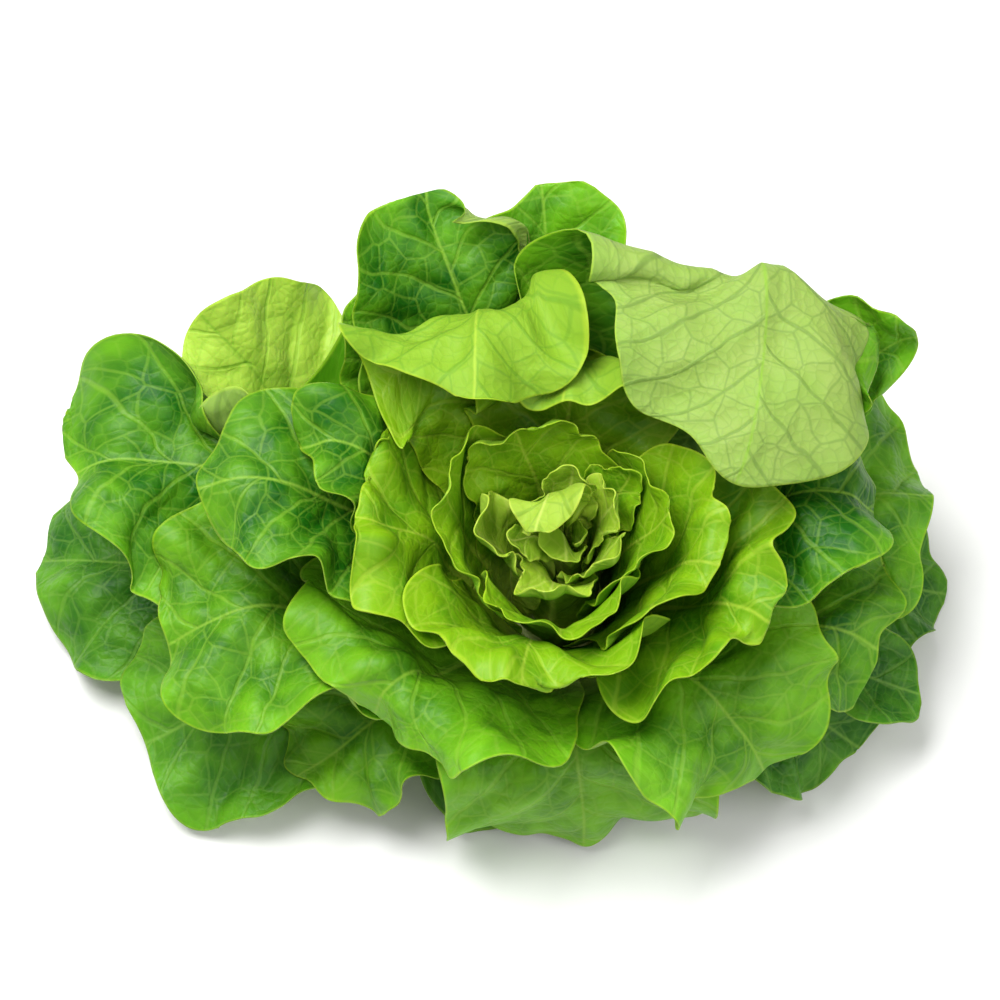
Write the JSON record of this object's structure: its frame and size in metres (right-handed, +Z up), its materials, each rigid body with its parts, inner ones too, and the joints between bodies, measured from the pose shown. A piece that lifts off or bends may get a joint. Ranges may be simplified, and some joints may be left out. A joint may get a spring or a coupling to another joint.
{
  "type": "head of butterhead lettuce",
  "caption": "Loose head of butterhead lettuce with a pale folded heart and large waved wrapper leaves, standing on its cut stem.",
  "frame": {"origin": "centre of the stem's flat cut face, on the surface that the head rests on", "axes": "+Z up along the stem towards the heart, +X along the head's long side to the right, +Y to the back"},
  "size_m": [0.2994, 0.1937, 0.1271],
  "materials": {
    "core_flesh": "moist pale stem flesh, flat cut face slightly browned",
    "low_leaf": "dark green leaf blade, satin above, paler and matt below",
    "wrapper_leaf": "green leaf blade, softly glossy above, paler and matt below",
    "ring_leaf": "bright yellow-green leaf blade, softly glossy above",
    "heart_leaf": "pale yellow-green heart leaf, satin"
  },
  "bodies": {
    "root": {"core": "core_flesh", "far_left_leaf": "low_leaf", "far_right_leaf": "low_leaf", "low_back_left_leaf": "low_leaf", "low_back_right_leaf": "low_leaf", "low_left_leaf": "low_leaf", "low_front_leaf": "low_leaf", "low_right_leaf": "low_leaf", "rolled_right_leaf": "low_leaf", "back_left_pale_leaf": "wrapper_leaf", "big_left_leaf": "wrapper_leaf", "pointed_front_leaf": "wrapper_leaf", "big_right_leaf": "wrapper_leaf", "back_right_curled_leaf": "wrapper_leaf", "left_leaf": "wrapper_leaf", "front_leaf": "wrapper_leaf", "right_leaf": "wrapper_leaf", "back_left_leaf": "wrapper_leaf", "back_left_narrow_leaf": "wrapper_leaf", "front_right_leaf": "wrapper_leaf", "front_left_leaf": "wrapper_leaf", "dark_right_leaf": "wrapper_leaf", "back_leaf": "wrapper_leaf", "tall_back_leaf": "wrapper_leaf", "dark_left_leaf": "wrapper_leaf", "folded_back_right_leaf": "wrapper_leaf", "small_left_leaf": "wrapper_leaf", "outer_ring_right_leaf": "ring_leaf", "outer_ring_left_leaf": "ring_leaf", "outer_ring_front_leaf": "ring_leaf", "folded_back_leaf": "ring_leaf", "folded_inner_back_leaf": "ring_leaf", "middle_ring_right_leaf": "ring_leaf", "inner_ring_left_leaf": "ring_leaf", "inner_ring_front_leaf": "ring_leaf", "inner_ring_right_leaf": "ring_leaf", "inner_ring_back_leaf": "ring_leaf", "inner_ring_back_right_leaf": "ring_leaf", "heart_left_leaf": "heart_leaf", "heart_front_leaf": "heart_leaf", "heart_front_right_leaf": "heart_leaf", "heart_right_leaf": "heart_leaf", "heart_back_leaf": "heart_leaf", "heart_inner_left_leaf": "heart_leaf", "heart_inner_front_leaf": "heart_leaf", "heart_inner_right_leaf": "heart_leaf", "heart_hood_leaf": "heart_leaf"}
  },
  "joints": []
}
